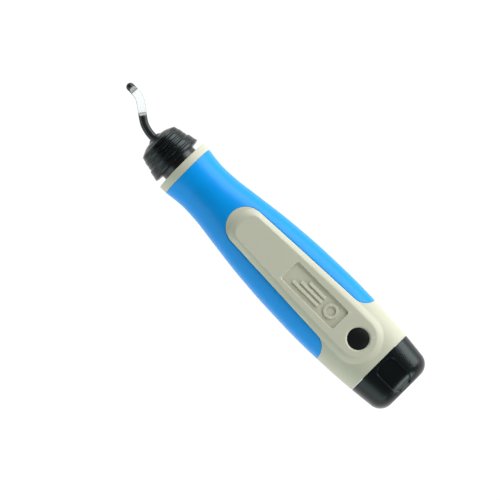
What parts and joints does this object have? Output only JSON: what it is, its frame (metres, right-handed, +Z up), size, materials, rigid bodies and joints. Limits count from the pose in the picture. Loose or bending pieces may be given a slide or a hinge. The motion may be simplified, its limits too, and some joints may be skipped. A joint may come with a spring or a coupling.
{
  "type": "deburring tool",
  "caption": "Hand deburring tool with a swivelling hook blade, a pull-back nose collar, a rubber-covered handle and a push-button end cap with a blade tray.",
  "frame": {"origin": "on the lower flat, under the middle of the overall length and width", "axes": "+X along the tool towards the blade, +Z up through the push button, +Y across the handle"},
  "size_m": [0.1562, 0.0316, 0.0254],
  "materials": {
    "handle_gray": "finely textured moulded plastic",
    "grip_blue": "soft matte rubber",
    "bush_black": "matte moulded plastic",
    "barrel_steel": "black oxide",
    "washer_steel": "zinc plated",
    "nut_steel": "zinc plated",
    "ball_steel": "polished",
    "blade_steel": "dark shank with a bright ground edge",
    "collar_black": "satin moulded plastic",
    "cam_steel": "hardened and ground",
    "clip_steel": "spring steel, phosphated",
    "spring_steel": "spring wire",
    "leaf_steel": "spring strip",
    "button_black": "polished",
    "retainer_black": "moulded plastic",
    "cap_black": "satin, finely textured",
    "tray_black": "moulded plastic",
    "screw_steel": "zinc plated"
  },
  "bodies": {
    "root": {"handle_core": "handle_gray", "grip_sleeve": "grip_blue", "nose_bush": "bush_black", "blade_barrel": "barrel_steel", "barrel_washer": "washer_steel", "barrel_nut": "nut_steel", "thrust_ball": "ball_steel", "button_retainer": "retainer_black", "collar_spring": "spring_steel", "button_spring": "spring_steel"},
    "blade": {"blade": "blade_steel"},
    "collar": {"release_collar": "collar_black", "cam_ring": "cam_steel", "collar_circlip": "clip_steel"},
    "lock_ball_1": {"lock_ball_1": "ball_steel"},
    "lock_ball_2": {"lock_ball_2": "ball_steel"},
    "lock_ball_3": {"lock_ball_3": "ball_steel"},
    "button": {"release_button": "button_black"},
    "cap": {"end_cap": "cap_black", "blade_magazine": "tray_black", "magazine_screws": "screw_steel", "latch_spring": "leaf_steel", "latch_screw": "screw_steel", "spare_blades": "blade_steel"}
  },
  "joints": [
    {"name": "blade_swivel", "type": "hinge", "parent": "root", "child": "blade", "pos_m": [0.05, 0, 0.0126], "axis": [1, 0, 0], "continuous": true},
    {"name": "collar_slide", "type": "slide", "parent": "root", "child": "collar", "axis": [-1, 0, 0], "range_m": [0, 0.0022], "stiffness_N_per_m": 400, "springref_m": -0.004, "deforming": ["collar_spring"]},
    {"name": "lock_ball_1_slide", "type": "slide", "parent": "root", "child": "lock_ball_1", "axis": [0, 0, 1], "range_m": [0, 0.00055]},
    {"name": "lock_ball_2_slide", "type": "slide", "parent": "root", "child": "lock_ball_2", "axis": [0, -0.866, -0.5], "range_m": [0, 0.00055]},
    {"name": "lock_ball_3_slide", "type": "slide", "parent": "root", "child": "lock_ball_3", "axis": [0, 0.866, -0.5], "range_m": [0, 0.00055]},
    {"name": "button_press", "type": "slide", "parent": "root", "child": "button", "axis": [0, 0, -1], "range_m": [0, 0.0015], "stiffness_N_per_m": 500, "springref_m": -0.002, "deforming": ["button_spring", "latch_spring"]},
    {"name": "cap_slide", "type": "slide", "parent": "root", "child": "cap", "axis": [-1, 0, 0], "range_m": [0, 0.055]}
  ],
  "couplings": [
    {"joint": "lock_ball_1_slide", "follows": "collar_slide", "ratio": 0.25},
    {"joint": "lock_ball_2_slide", "follows": "collar_slide", "ratio": 0.25},
    {"joint": "lock_ball_3_slide", "follows": "collar_slide", "ratio": 0.25}
  ]
}
